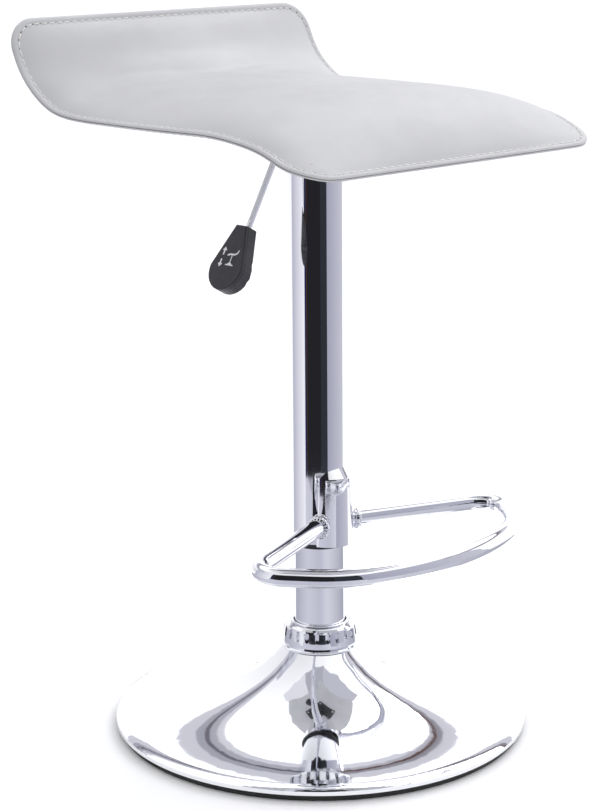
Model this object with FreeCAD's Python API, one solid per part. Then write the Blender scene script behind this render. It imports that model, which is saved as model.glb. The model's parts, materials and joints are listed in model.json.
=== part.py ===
"""Adjustable swivel stool: chromed dish base, gas-lift column, footrest loop and a padded wave seat.

Frame: millimetres, +Z up, the origin on the floor under the column's axis. The sitter faces -Y
and the height lever is on the -X side. The stool stands at its lowest height.
"""
import FreeCAD, Part
import math
import os

V = FreeCAD.Vector
UP = V(0, 0, 1)

# ---- Driving dimensions -------------------------------------------------------------------
# Base
RIM_R = 206.4
RIM_BOTTOM_Z = 7.0
RIM_TOP_Z = 11.5
NECK_R = 37.0
NECK_Z = 80.6
DISH_T = 2.5
DISH_FLARE = [(60.0, 51.0), (95.0, 14.5)]
CREASE_IN = 12.0
CREASE_UP = 2.3
RUBBER_R = 202.9
RUBBER_INNER_R = 189.0
HUB_Z = 26.0
HUB_T = 3.0
HUB_HOLE_R = 14.0
BASE_BOLT_PCD = 36.0
BASE_BOLT_R = 3.0

# Trim ring at the foot of the column
TRIM_R = 38.4
TRIM_Z = 80.6
TRIM_SLOTS = 22
TRIM_SLOT_W = 3.8
TRIM_SLOT_Z = (91.5, 101.5)

# Column
LOWER_R = 25.5
LOWER_WALL = 1.5
LOWER_TOP_Z = 475.0
COVER_R = 30.0
COVER_WALL = 1.5
COVER_Z = (192.5, 576.0)
BUSH_BOTTOM_Z = 187.5
BUSH_TOP_Z = 232.0
CYL_R = 14.0
CYL_WALL = 1.5
CYL_BOTTOM_Z = 80.0
TAPER_Z = (552.0, 586.0)
TAPER_TOP_R = 13.0
ROD_R = 5.0
ROD_END_R = 4.0
PISTON_Z = (540.0, 552.0)
RUN = 0.05
GAP = 0.3

# Thrust bearing at the foot of the piston rod
FOOT_TOP_Z = 47.0
RACE_T = 2.0
RACE_R = 13.0
BALL_R = 2.0
BALL_PITCH_R = 9.0
BALLS = 8

# Footrest
FOOT_Z = 212.0
FOOT_TUBE_R = 8.7
FOOT_TUBE_WALL = 1.4
FOOT_APEX_Y = -181.0
FOOT_STUB_TURN = 158.7
STUB_END_X = 16.0
BRACKET_Z = (190.5, 259.0, 268.5)
BRACKET_HALF_W = 23.5
BRACKET_FRONT = 37.5
BRACKET_T = 2.5
WELD_SETBACK = 12.0

# Seat: half width, and the underside's side profile as (forward of the axis, height)
SEAT_HALF_W = 196.0
SEAT_PROFILE = [
    (-226, 698), (-214.5, 671), (-203.5, 650), (-189.5, 635), (-172.5, 622.5), (-150, 613.5),
    (-120, 609.8), (-62, 609), (0, 609), (45, 609.5), (80, 608.5), (104, 605.5), (128, 601),
    (150, 592.8), (170, 585.6), (189, 579.2),
]
SEAT_CORNER_R = (30.0, 42.0)
BOTTOM_SKIN_T = 1.5
TOP_SKIN_T = 1.5
EDGE_T = 5.0
SEAM_INSET = 6.5
FOAM_H = 30.0
SHELL_T = 6.0
SHELL_GAP = 0.3
SHELL_INSET = 24.0
SHELL_ROUNDING = 44.0
PAD_CORNER_R = 26.0
CROWN_FOOT = 0.5
CROWN_END_H = 2.0
CROWN_STATIONS = [-math.cos(math.pi * i / 16) for i in range(17)]

# Seat mechanism
PLATE_SIDE = 150.0
PLATE_Z = (604.5, 608.5)
PLATE_HOLE = 58.0
BOLT_R = 3.0
BOLT_LEN = 17.0
BOLT_HEAD_T = 4.0
WASHER_T = 1.4
NUT_Z = (610.6, 615.1, 616.5)
CHANNEL_Z = 583.0
CHANNEL_HALF = (36.0, 22.0)
CHANNEL_T = 2.5
SOCKET_R = 20.0
SOCKET_BOTTOM_Z = 556.0

# Lever
PIVOT = (-22.0, 596.0)
PIVOT_R = 3.0
LEVER_R = 3.0
LEVER_BEND_X = -43.0
LEVER_BEND_R = 9.0
LEVER_TILT = 29.3
HANDLE_TOP = 97.0
HANDLE_LEN = 64.5
ROD_IN_HANDLE = 40.0
HANDLE_TOP_HALF_W = 7.0
HANDLE_HALF_W = 21.3
HANDLE_FACE_T = 3.2
HANDLE_BACK_T = 11.8
HANDLE_SPLIT = 0.4
PIN_R = 3.0
PIN_Z = (566.0, 592.3)


# ---- Helpers ------------------------------------------------------------------------------
def revolve(points):
    """Turn a closed (radius, height) outline about the column's axis."""
    corners = [V(r, 0, z) for r, z in points]
    return Part.Face(Part.makePolygon(corners + corners[:1])).revolve(V(), UP, 360)


def ring(outer, inner, z0, z1):
    """A plain tube or washer about the column's axis."""
    return revolve([(inner, z0), (outer, z0), (outer, z1), (inner, z1)])


def rod_between(start, end, radius):
    """A round bar between two points."""
    return Part.makeCylinder(radius, (end - start).Length, start, end - start)


def box(x0, x1, y0, y1, z0, z1):
    """A box from its lowest and highest corners."""
    return Part.makeBox(x1 - x0, y1 - y0, z1 - z0, V(x0, y0, z0))


def on_circle(radius, count, z, start=0.0):
    """Points spread evenly round the column's axis."""
    turns = [math.radians(start + 360.0 * i / count) for i in range(count)]
    return [V(radius * math.cos(a), radius * math.sin(a), z) for a in turns]


def filleted(solid, radius, keep):
    """Round the edges that keep() picks, or give the solid back where they can't be rounded."""
    try:
        rounded = solid.makeFillet(radius, [e for e in solid.Edges if keep(e)])
    except Part.OCCError:
        return solid
    return rounded if rounded.isValid() else solid


def bezier(points):
    """A Bezier edge in the radius-height plane."""
    curve = Part.BezierCurve()
    curve.setPoles([V(r, 0, z) for r, z in points])
    return curve.toShape()


def line(a, b):
    """A straight edge between two (radius, height) points."""
    return Part.makeLine(V(a[0], 0, a[1]), V(b[0], 0, b[1]))


def loft(wires, ruled):
    """A solid through closed wires, turned right side out."""
    solid = Part.makeLoft(wires, True, ruled)
    if solid.Volume < 0:
        solid.reverse()
    return solid


def largest(shape):
    """The main solid of a cut, without the slivers that come off it."""
    return max(shape.Solids, key=lambda solid: solid.Volume)


# ---- Base ---------------------------------------------------------------------------------
CREASE = (RIM_R - CREASE_IN, RIM_TOP_Z + CREASE_UP)
DISH_OUTER = [(NECK_R, NECK_Z), *DISH_FLARE, CREASE]
DISH_LIP = [CREASE, (RIM_R - 4.0, RIM_TOP_Z + 1.8), (RIM_R, RIM_TOP_Z - 0.6)]


def lowered(points, inset):
    """The dish's inner line: the outer one moved in and down by the sheet's thickness."""
    return [(r - inset * 0.8, z - inset * 0.75) for r, z in points]


def base_dish():
    """Spun steel trumpet with a turned-down rim."""
    inner = lowered(DISH_OUTER, DISH_T)
    inner[-1] = (CREASE[0], CREASE[1] - DISH_T)
    lip_in = RIM_R - DISH_T
    edges = [
        bezier(DISH_OUTER), bezier(DISH_LIP),
        line(DISH_LIP[-1], (RIM_R, RIM_BOTTOM_Z)),
        line((RIM_R, RIM_BOTTOM_Z), (lip_in, RIM_BOTTOM_Z)),
        line((lip_in, RIM_BOTTOM_Z), (lip_in, RIM_TOP_Z - 1.2)),
        line((lip_in, RIM_TOP_Z - 1.2), inner[-1]),
        bezier(inner[::-1]),
        line(inner[0], DISH_OUTER[0]),
    ]
    return Part.Face(Part.Wire(edges)).revolve(V(), UP, 360)


def under_dish():
    """The space that the dish covers, used to trim what is welded inside it."""
    inner = lowered(DISH_OUTER, DISH_T + 0.4)
    edges = [
        bezier(inner), line(inner[-1], (inner[-1][0], 0)),
        line((inner[-1][0], 0), (0, 0)), line((0, 0), (0, inner[0][1])),
        line((0, inner[0][1]), inner[0]),
    ]
    return Part.Face(Part.Wire(edges)).revolve(V(), UP, 360)


def base_rubber_ring():
    """Black rubber ring that the rim sits on."""
    lip = RIM_R - DISH_T - 0.3
    return revolve([
        (RUBBER_INNER_R, 0), (RUBBER_R - 1.4, 0), (RUBBER_R, 1.4), (RUBBER_R, RIM_BOTTOM_Z),
        (lip, RIM_BOTTOM_Z), (lip, RIM_TOP_Z - 1.6), (RUBBER_INNER_R, RIM_TOP_Z - 1.6),
    ])


def base_hub_plate():
    """Steel disc welded across the inside of the dish."""
    disc = ring(120.0, HUB_HOLE_R, HUB_Z, HUB_Z + HUB_T).common(under_dish())
    for p in on_circle(BASE_BOLT_PCD / 2, 4, HUB_Z - 1, 45):
        disc = disc.cut(Part.makeCylinder(BASE_BOLT_R + 0.3, HUB_T + 2, p))
    return disc


def base_bolts():
    """Four cap screws up through the hub plate into the column's foot."""
    bolts = []
    for p in on_circle(BASE_BOLT_PCD / 2, 4, HUB_Z - 7.6, 45):
        head = Part.makeCylinder(5.0, 6.0, p)
        head = head.cut(hexagon(2.5, 3.5, p))
        shank = Part.makeCylinder(BASE_BOLT_R, HUB_T + 16.0, p + V(0, 0, 6))
        bolts.append(head.fuse(shank).removeSplitter())
    return Part.makeCompound(bolts)


def hexagon(inradius, height, base):
    """A hexagonal prism standing on a point."""
    reach = inradius / math.cos(math.pi / 6)
    turns = [math.pi * i / 3 for i in range(7)]
    corners = [V(reach * math.cos(a), reach * math.sin(a), 0) for a in turns]
    prism = Part.Face(Part.makePolygon(corners)).extrude(UP * height)
    prism.translate(base)
    return prism


def base_washers():
    """Spring washers under the base bolts."""
    washers = []
    for p in on_circle(BASE_BOLT_PCD / 2, 4, HUB_Z - 1.6, 45):
        disc = Part.makeCylinder(6.0, 1.6, p)
        washers.append(disc.cut(Part.makeCylinder(BASE_BOLT_R + 0.1, 1.6, p)))
    return Part.makeCompound(washers)


def trim_ring():
    """Chromed collar between the dish and the column, with a row of upright slots."""
    body = revolve([
        (LOWER_R + 0.8, TRIM_Z), (TRIM_R, TRIM_Z), (TRIM_R, TRIM_Z + 1.6), (TRIM_R - 1.2, TRIM_Z + 2.6),
        (TRIM_R - 0.9, TRIM_Z + 5.0), (TRIM_R - 1.1, TRIM_Z + 8.0), (TRIM_R - 1.4, TRIM_Z + 10.5),
        (TRIM_R - 2.7, TRIM_Z + 20.0), (TRIM_R - 3.8, TRIM_Z + 22.0), (TRIM_R - 5.8, TRIM_Z + 23.6),
        (TRIM_R - 8.2, TRIM_Z + 24.2), (TRIM_R - 8.4, TRIM_Z + 23.2), (LOWER_R + 3.6, TRIM_Z + 23.2),
        (LOWER_R + 3.6, TRIM_Z + 4.0), (LOWER_R + 0.8, TRIM_Z + 4.0),
    ])
    z0, z1 = TRIM_SLOT_Z
    half = TRIM_SLOT_W / 2
    for i in range(TRIM_SLOTS):
        slot = box(LOWER_R + 6.5, TRIM_R + 5, -half, half, z0 + half, z1 - half)
        slot = slot.fuse(rod_between(V(LOWER_R + 6.5, 0, z0 + half), V(TRIM_R + 5, 0, z0 + half), half))
        slot = slot.fuse(rod_between(V(LOWER_R + 6.5, 0, z1 - half), V(TRIM_R + 5, 0, z1 - half), half))
        slot.rotate(V(), UP, 360.0 * (i + 0.5) / TRIM_SLOTS)
        body = body.cut(slot)
    return body


def trim_lip():
    """Thin bead on top of the collar, close round the tube."""
    bead = Part.makeTorus(LOWER_R + 2.3, 1.5, V(0, 0, TRIM_Z + 25.0))
    return bead.fuse(ring(LOWER_R + 3.4, LOWER_R + 0.9, TRIM_Z + 16.0, TRIM_Z + 24.6)).removeSplitter()


# ---- Column -------------------------------------------------------------------------------
def lower_tube():
    """Fixed chromed tube that stands in the base."""
    return ring(LOWER_R, LOWER_R - LOWER_WALL, HUB_Z + HUB_T, LOWER_TOP_Z)


def tube_foot():
    """Turned plug in the bottom of the lower tube, which carries the thrust bearing."""
    outer = LOWER_R - LOWER_WALL
    z = HUB_Z + HUB_T
    plug = revolve([
        (12.0, z), (outer, z), (outer, FOOT_TOP_Z), (ROD_END_R + RUN, FOOT_TOP_Z),
        (ROD_END_R + RUN, FOOT_TOP_Z - 6), (12.0, FOOT_TOP_Z - 6),
    ])
    for p in on_circle(BASE_BOLT_PCD / 2, 4, z - 1, 45):
        plug = plug.cut(Part.makeCylinder(BASE_BOLT_R, 16.0, p))
    return plug


def guide_sleeve():
    """Plastic guide in the top of the lower tube that the gas cylinder slides in."""
    outer = LOWER_R - LOWER_WALL
    return revolve([
        (CYL_R + RUN, LOWER_TOP_Z - 78), (outer, LOWER_TOP_Z - 78), (outer, LOWER_TOP_Z),
        (LOWER_R, LOWER_TOP_Z), (LOWER_R, LOWER_TOP_Z + 3), (CYL_R + RUN, LOWER_TOP_Z + 3),
    ])


def lower_race():
    """Fixed washer of the thrust bearing."""
    return ring(RACE_R, ROD_END_R + 0.3, FOOT_TOP_Z, FOOT_TOP_Z + RACE_T)


def bearing_balls():
    """Steel balls of the thrust bearing."""
    z = FOOT_TOP_Z + RACE_T + BALL_R
    return Part.makeCompound([Part.makeSphere(BALL_R, p) for p in on_circle(BALL_PITCH_R, BALLS, z)])


def ball_cage():
    """Flat cage that spaces the balls."""
    z = FOOT_TOP_Z + RACE_T + BALL_R
    cage = ring(RACE_R - 0.6, ROD_END_R + 0.6, z - 0.6, z + 0.6)
    for p in on_circle(BALL_PITCH_R, BALLS, z - 1):
        cage = cage.cut(Part.makeCylinder(BALL_R + 0.1, 2, p))
    return cage


def race_top():
    """Height of the turning washer's upper face."""
    return FOOT_TOP_Z + 2 * RACE_T + 2 * BALL_R + GAP


def upper_race():
    """Turning washer of the thrust bearing, under the rod's shoulder."""
    return ring(RACE_R, ROD_END_R + 0.02, race_top() - RACE_T, race_top())


def piston_rod():
    """Rod that stands on the thrust bearing and turns with the seat."""
    z = race_top()
    return revolve([
        (0, 33), (ROD_END_R, 33), (ROD_END_R, z), (ROD_R, z), (ROD_R, PISTON_Z[0]), (0, PISTON_Z[0]),
    ]).cut(ring(ROD_END_R + 1, ROD_END_R - 0.8, 36, 37.2))


def rod_clip():
    """Spring clip in the groove at the rod's foot."""
    clip = ring(8.0, ROD_END_R - 0.8, 36, 37.2)
    return clip.cut(box(0, 9, -1.5, 1.5, 35, 38))


def rod_washer():
    """Washer between the clip and the column's foot."""
    return ring(9.5, ROD_END_R + 0.1, 37.2, FOOT_TOP_Z - 6 - GAP)


def piston():
    """Piston on top of the rod, inside the gas cylinder."""
    return ring(CYL_R - CYL_WALL - RUN, 0, *PISTON_Z)


def bumper():
    """Rubber buffer round the rod that the cylinder comes down on."""
    z0, z1 = race_top(), CYL_BOTTOM_Z - GAP
    mid = (z0 + z1) / 2
    bore = ROD_R + 0.1
    return revolve([
        (bore, z0), (12, z0), (12, mid - 3), (10, mid), (12, mid + 3), (12, z1), (bore, z1),
    ])


def gas_cylinder():
    """Pressure tube with its tapered head."""
    bore = CYL_R - CYL_WALL
    return revolve([
        (bore, CYL_BOTTOM_Z), (CYL_R, CYL_BOTTOM_Z), (CYL_R, TAPER_Z[0]), (TAPER_TOP_R, TAPER_Z[1]),
        (PIN_R + RUN, TAPER_Z[1]), (PIN_R + RUN, 560), (bore, 560),
    ])


def cylinder_seal():
    """Rod guide and seal in the cylinder's foot."""
    return ring(CYL_R - CYL_WALL, ROD_R + RUN, CYL_BOTTOM_Z + 4, CYL_BOTTOM_Z + 16)


def valve_pin():
    """Release pin in the cylinder's head."""
    return filleted(
        Part.makeCylinder(PIN_R, PIN_Z[1] - PIN_Z[0], V(0, 0, PIN_Z[0])), 0.6,
        lambda e: e.BoundBox.ZMin > PIN_Z[1] - 0.01)


def cover_tube():
    """Chromed tube that hangs from the seat over the lower tube."""
    return ring(COVER_R, COVER_R - COVER_WALL, *COVER_Z)


def cover_bush():
    """Black plastic bush in the cover tube's mouth, which runs on the lower tube."""
    inner = LOWER_R + RUN
    wall = COVER_R - COVER_WALL
    return revolve([
        (inner, BUSH_BOTTOM_Z), (COVER_R - 0.8, BUSH_BOTTOM_Z), (COVER_R, BUSH_BOTTOM_Z + 0.8),
        (COVER_R, COVER_Z[0]), (wall, COVER_Z[0]), (wall, BUSH_TOP_Z), (inner, BUSH_TOP_Z),
    ])


def cover_cap():
    """Black plastic cap that centres the cover tube on the taper socket."""
    top = CHANNEL_Z
    return revolve([
        (SOCKET_R + 0.1, 562), (COVER_R - COVER_WALL, 562), (COVER_R - COVER_WALL, COVER_Z[1]),
        (COVER_R + 1.6, COVER_Z[1]), (COVER_R + 1.6, top - 1), (COVER_R + 0.6, top), (SOCKET_R + 0.1, top),
    ])


# ---- Footrest -----------------------------------------------------------------------------
def arc_point(x, y, heading, radius, to_heading):
    """Where an arc that starts at (x, y) has turned to another heading."""
    a, b = math.radians(heading), math.radians(to_heading)
    return (x + radius * (math.sin(b) - math.sin(a)), y - radius * (math.cos(b) - math.cos(a)))


def turn_walk(x, y, heading, radius, to_heading):
    """One arc of the footrest: its edge and end point. Headings turn from +X towards the column."""
    mid = arc_point(x, y, heading, radius, (heading + to_heading) / 2)
    end = arc_point(x, y, heading, radius, to_heading)
    return Part.Arc(V(x, y, FOOT_Z), V(*mid, FOOT_Z), V(*end, FOOT_Z)).toShape(), end


def half_loop():
    """The +X half of the loop's centre line, from the front's middle to the column."""
    front, p1 = turn_walk(0, FOOT_APEX_Y, 0, 250, 22)
    shoulder, p2 = turn_walk(*p1, 22, 110, 52)
    run = math.radians(52)
    p3 = (p2[0] + 22 * math.cos(run), p2[1] + 22 * math.sin(run))
    corner, p4 = turn_walk(*p3, 52, 27, FOOT_STUB_TURN)
    inward = math.radians(FOOT_STUB_TURN)
    p5 = (STUB_END_X, p4[1] + (STUB_END_X - p4[0]) * math.tan(inward))
    points = [V(*p, FOOT_Z) for p in (p2, p3, p4, p5)]
    side, stub = Part.makeLine(points[0], points[1]), Part.makeLine(points[2], points[3])
    return [front, shoulder, side, corner, stub]


def swept(path, radius):
    """A round bar along a wire, built from the wire's first point."""
    start = path.Vertexes[0].Point
    along = path.Edges[0].tangentAt(path.Edges[0].FirstParameter)
    circle = Part.Wire(Part.makeCircle(radius, start, along))
    return path.makePipeShell([circle], True, False)


def loop_bar(radius):
    """The whole loop as a bar of the given radius."""
    half = swept(Part.Wire(half_loop()), radius)
    return half.fuse(half.mirror(V(), V(1, 0, 0))).removeSplitter()


def arch(half_w, front, shoulder, z):
    """The bracket's outline at one height: an arch in front of the tube, closed by a chord."""
    a, b, c = V(-half_w, -shoulder, z), V(0, -front, z), V(half_w, -shoulder, z)
    return Part.Wire([Part.Arc(a, b, c).toShape(), Part.makeLine(c, a)])


def bracket_block(inset):
    """The footrest bracket's envelope, pulled in by inset."""
    w, f = BRACKET_HALF_W - inset, BRACKET_FRONT - inset
    z0, z1, z2 = BRACKET_Z
    middle = arch(w - 1.5, f - 0.5, 17, z1 - inset)
    walls = loft([arch(w, f, 16, z0), middle], True)
    hood = loft([middle, arch(w - 4, f - 7.5, 19, z2 - inset)], True)
    return walls.fuse(hood).removeSplitter()


def footrest_bracket():
    """Pressed hood welded to the front of the cover tube."""
    tube = Part.makeCylinder(COVER_R, 120, V(0, 0, 170))
    fold_z = BRACKET_Z[1]
    hood = filleted(
        bracket_block(0), 2.0,
        lambda e: e.BoundBox.ZMin > fold_z - 1 and e.BoundBox.ZMax < fold_z + 1)
    return hood.cut(bracket_block(BRACKET_T)).cut(tube)


def footrest_loop():
    """Bent chromed tube with both ends welded to the bracket."""
    loop = loop_bar(FOOT_TUBE_R).cut(loop_bar(FOOT_TUBE_R - FOOT_TUBE_WALL))
    return loop.cut(Part.makeCylinder(COVER_R, 60, V(0, 0, FOOT_Z - 30))).cut(bracket_block(0))


def footrest_welds():
    """Weld beads round both ends of the loop."""
    stub = half_loop()[-1]
    along = (stub.Vertexes[0].Point - stub.Vertexes[1].Point).normalize()
    centre = stub.Vertexes[1].Point + along * WELD_SETBACK
    bead = Part.makeTorus(FOOT_TUBE_R + 1.2, 2.6, centre, along)
    bead = bead.cut(rod_between(centre - along * 30, centre + along * 30, FOOT_TUBE_R))
    pair = []
    for one in (bead, bead.mirror(V(), V(1, 0, 0))):
        pair.append(one.cut(Part.makeCylinder(COVER_R, 60, V(0, 0, FOOT_Z - 30))).cut(bracket_block(0)))
    return Part.makeCompound([s for one in pair for s in one.Solids])


# ---- Seat ---------------------------------------------------------------------------------
def profile_curve():
    """The underside's side profile as one smooth curve in the Y-Z plane, from back to front."""
    curve = Part.BSplineCurve()
    curve.interpolate([V(0, -forward, z) for forward, z in SEAT_PROFILE])
    return curve


PROFILE = profile_curve()
PROFILE_LEN = PROFILE.length()


def station(s):
    """Point, forward tangent and upward normal at a distance s along the profile."""
    u = PROFILE.parameterAtDistance(s, PROFILE.FirstParameter)
    along = PROFILE.tangent(u)[0]
    return PROFILE.value(u), along, V(0, along.z, -along.y)


def offset_edge(height, trim):
    """The profile raised by a height along its normal and cut back at both ends."""
    count = 28
    points = []
    for i in range(count + 1):
        s = trim + (PROFILE_LEN - 2 * trim) * i / count
        point, along, normal = station(s)
        points.append(point + normal * height)
    curve = Part.BSplineCurve()
    curve.interpolate(points)
    return curve.toShape()


def corner_cutter(s, inward, side, radius, half_w, trim):
    """What rounds one corner of a seat layer, square to the layer there."""
    point, along, normal = station(s + inward * trim)
    toward = along * inward
    centre = V(side * (half_w - radius), 0, 0) + point + toward * radius
    across = V(side, 0, 0)
    corners = [
        centre, centre + across * 60, centre + across * 60 - toward * 60, centre - toward * 60,
    ]
    face = Part.Face(Part.makePolygon([c - normal * 20 for c in corners + corners[:1]]))
    wedge = face.extrude(normal * 70)
    return wedge.cut(Part.makeCylinder(radius, 80, centre - normal * 25, normal))


def layer(z0, z1, inset, rounding=0.0):
    """One seat layer between two heights above the underside, inset from the outline."""
    low, high = offset_edge(z0, inset), offset_edge(z1, inset)
    a, b = low.Vertexes, high.Vertexes
    ends = [Part.makeLine(a[-1].Point, b[-1].Point), Part.makeLine(a[0].Point, b[0].Point)]
    half = SEAT_HALF_W - inset
    sheet = Part.Face(Part.Wire(Part.__sortEdges__([low, high] + ends)))
    sheet.translate(V(-half, 0, 0))
    slab = sheet.extrude(V(2 * half, 0, 0))
    for s, inward, radius in ((0, 1, SEAT_CORNER_R[0]), (PROFILE_LEN, -1, SEAT_CORNER_R[1])):
        for side in (-1, 1):
            slab = slab.cut(corner_cutter(s, inward, side, radius - inset + rounding, half, inset))
    return slab


def arched(x):
    """Height of the padding's cross-section from its middle (0) to the seam (1 or -1)."""
    return 0.75 * (1 - x ** 2) + 0.25 * (1 - x ** 10)


def crown(height, grow):
    """Padding as a loft of arched sections, thin at the seam and full in the middle."""
    inset = SEAM_INSET - grow
    count = 14
    sections = []
    for i in range(count + 1):
        u = -math.cos(math.pi * i / count)
        s = PROFILE_LEN / 2 + u * (PROFILE_LEN / 2 - inset)
        point, along, normal = station(s)
        near_end = PROFILE_LEN / 2 - abs(s - PROFILE_LEN / 2) - inset
        short = max(0.0, PAD_CORNER_R - near_end)
        narrow = PAD_CORNER_R - math.sqrt(PAD_CORNER_R ** 2 - short ** 2)
        half = SEAT_HALF_W - inset - narrow
        rise = grow + CROWN_END_H + (height - CROWN_END_H) * (1 - abs(u) ** 5)
        foot = point + normal * CROWN_FOOT
        a, b = foot + V(-half, 0, 0), foot + V(half, 0, 0)
        top = Part.BSplineCurve()
        top.interpolate([foot + V(half * x, 0, 0) + normal * rise * arched(x) for x in CROWN_STATIONS])
        sections.append(Part.Wire([top.toShape(), Part.makeLine(b, a)]))
    return loft(sections, False)


def bolt_places(z):
    """The four seat bolts' axes at one height."""
    return [V(x * PLATE_HOLE, y * PLATE_HOLE, z) for x in (-1, 1) for y in (-1, 1)]


def drilled(solid, radius, z0, z1):
    """A seat layer with the four bolt holes through it."""
    for p in bolt_places(z0):
        solid = solid.cut(Part.makeCylinder(radius, z1 - z0, p))
    return solid


def shell_layer(z0):
    """The shell's envelope from one height up to its top."""
    return layer(z0, BOTTOM_SKIN_T + SHELL_GAP + SHELL_T, SHELL_INSET, SHELL_ROUNDING)


def seat_bottom_cover():
    """Leather sheet under the shell and the sewn edge."""
    return drilled(layer(0, BOTTOM_SKIN_T, 0), 5.0, 600, 615)


def seat_shell():
    """Moulded plywood shell, with sunk seats for the tee nuts."""
    shell = drilled(shell_layer(BOTTOM_SKIN_T + SHELL_GAP), 4.2, 600, 630)
    return drilled(shell, 9.2, NUT_Z[1], 630)


def seat_foam():
    """Foam pad over the shell and round its edge."""
    return largest(crown(FOAM_H, 0).cut(layer(-5, BOTTOM_SKIN_T, 0)).cut(shell_layer(-5)))


def seat_top_cover():
    """Leather cover over the foam, with the flat edge that is sewn to the bottom leather."""
    edge = layer(BOTTOM_SKIN_T, EDGE_T, 0).cut(layer(0, EDGE_T + 5, SEAM_INSET + 1.0))
    skin = crown(FOAM_H, TOP_SKIN_T).cut(layer(-5, BOTTOM_SKIN_T, 0))
    return largest(edge.fuse(skin).cut(crown(FOAM_H, 0)).cut(shell_layer(-5)))


def tee_nuts():
    """Four tee nuts sunk in the shell."""
    nuts = []
    barrel, flange, top = NUT_Z
    for p in bolt_places(barrel):
        nut = Part.makeCylinder(4.1, flange - barrel, p)
        nut = nut.fuse(Part.makeCylinder(9.0, top - flange, p + V(0, 0, flange - barrel)))
        nuts.append(nut.cut(Part.makeCylinder(BOLT_R + 0.02, 10, p)).removeSplitter())
    return Part.makeCompound(nuts)


def seat_bolts():
    """Four hexagon bolts that hold the seat to its mechanism."""
    bolts = []
    for p in bolt_places(PLATE_Z[0] - WASHER_T - BOLT_HEAD_T):
        shank = Part.makeCylinder(BOLT_R, BOLT_LEN, p)
        bolts.append(hexagon(5.0, BOLT_HEAD_T, p).fuse(shank).removeSplitter())
    return Part.makeCompound(bolts)


def seat_washers():
    """Washers under the seat bolts' heads."""
    washers = []
    for p in bolt_places(PLATE_Z[0] - WASHER_T):
        disc = Part.makeCylinder(7.0, WASHER_T, p)
        washers.append(disc.cut(Part.makeCylinder(BOLT_R + 0.1, WASHER_T, p)))
    return Part.makeCompound(washers)


# ---- Seat mechanism -----------------------------------------------------------------------
def mechanism_plate():
    """Pressed steel plate bolted to the seat."""
    half = PLATE_SIDE / 2
    plate = box(-half, half, -half, half, *PLATE_Z)
    plate = filleted(plate, 14.0, lambda e: e.Length < 5)
    return drilled(plate, BOLT_R + 0.4, 600, 610)


def mechanism_channel():
    """Steel channel under the plate that holds the socket and the lever's pivot."""
    hx, hy = CHANNEL_HALF
    floor_z = CHANNEL_Z + 3.0
    body = box(-hx, hx, -hy - CHANNEL_T, hy + CHANNEL_T, CHANNEL_Z, PLATE_Z[0])
    body = body.cut(box(-hx - 1, hx + 1, -hy, hy, floor_z, PLATE_Z[0] + 1))
    body = body.cut(Part.makeCylinder(SOCKET_R, 10, V(0, 0, CHANNEL_Z - 2)))
    pin_hole = rod_between(V(PIVOT[0], -40, PIVOT[1]), V(PIVOT[0], 40, PIVOT[1]), PIVOT_R)
    return body.cut(pin_hole)


def taper_socket():
    """Tapered steel socket that sits on the gas cylinder's head."""
    taper = TAPER_Z[1] - TAPER_Z[0]
    low = CYL_R + (TAPER_TOP_R - CYL_R) * (SOCKET_BOTTOM_Z - TAPER_Z[0]) / taper
    return revolve([
        (low, SOCKET_BOTTOM_Z), (SOCKET_R, SOCKET_BOTTOM_Z), (SOCKET_R, TAPER_Z[1]),
        (TAPER_TOP_R, TAPER_Z[1]),
    ])


def pivot_pin():
    """Cross pin that the lever turns on, with a head at each end."""
    wall = CHANNEL_HALF[1] + CHANNEL_T
    pin = rod_between(V(PIVOT[0], -wall, PIVOT[1]), V(PIVOT[0], wall, PIVOT[1]), PIVOT_R)
    for side in (-1, 1):
        inner = V(PIVOT[0], side * wall, PIVOT[1])
        pin = pin.fuse(rod_between(inner, inner + V(0, side * 1.5, 0), PIVOT_R + 1.5))
    return pin.removeSplitter()


# ---- Lever --------------------------------------------------------------------------------
def lever_down():
    """Unit vector along the lever's hanging part."""
    a = math.radians(LEVER_TILT)
    return V(-math.sin(a), 0, -math.cos(a))


def lever_outward():
    """Unit vector out of the handle's face."""
    a = math.radians(LEVER_TILT)
    return V(-math.cos(a), 0, math.sin(a))


def lever_path(start_x, length):
    """Centre line of the lever: level out of the mechanism, one bend, then down."""
    z = PIVOT[1]
    down = lever_down()
    turn = math.radians(90 - LEVER_TILT)
    cut_back = LEVER_BEND_R * math.tan(turn / 2)
    knee = V(LEVER_BEND_X, 0, z)
    a = knee + V(cut_back, 0, 0)
    b = knee + down * cut_back
    bisector = (V(1, 0, 0) + down).normalize()
    mid = knee + bisector * (LEVER_BEND_R / math.cos(turn / 2) - LEVER_BEND_R)
    bend = Part.Arc(a, mid, b).toShape()
    return Part.Wire([Part.makeLine(V(start_x, 0, z), a), bend, Part.makeLine(b, knee + down * length)])


def lever_yoke():
    """Hub on the pivot pin with the finger that presses the valve pin."""
    x, z = PIVOT
    hub = rod_between(V(x, -9, z), V(x, 9, z), 6.5)
    finger = box(x, 4, -4, 4, z - 3, z + 3)
    yoke = hub.fuse(finger).removeSplitter()
    yoke = yoke.cut(rod_between(V(x, -12, z), V(x, 12, z), PIVOT_R + RUN))
    return yoke.cut(rod_between(V(x - 12, 0, z), V(x - 4.6, 0, z), LEVER_R))


def lever_rod():
    """Bent chromed rod from the yoke into the handle."""
    return swept(lever_path(PIVOT[0] - 4.6, HANDLE_TOP + ROD_IN_HANDLE), LEVER_R)


def handle_point(across, down):
    """A point in the handle's middle plane, from its top's middle."""
    origin = V(LEVER_BEND_X, 0, PIVOT[1]) + lever_down() * HANDLE_TOP
    return origin + V(0, across, 0) + lever_down() * down


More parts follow.
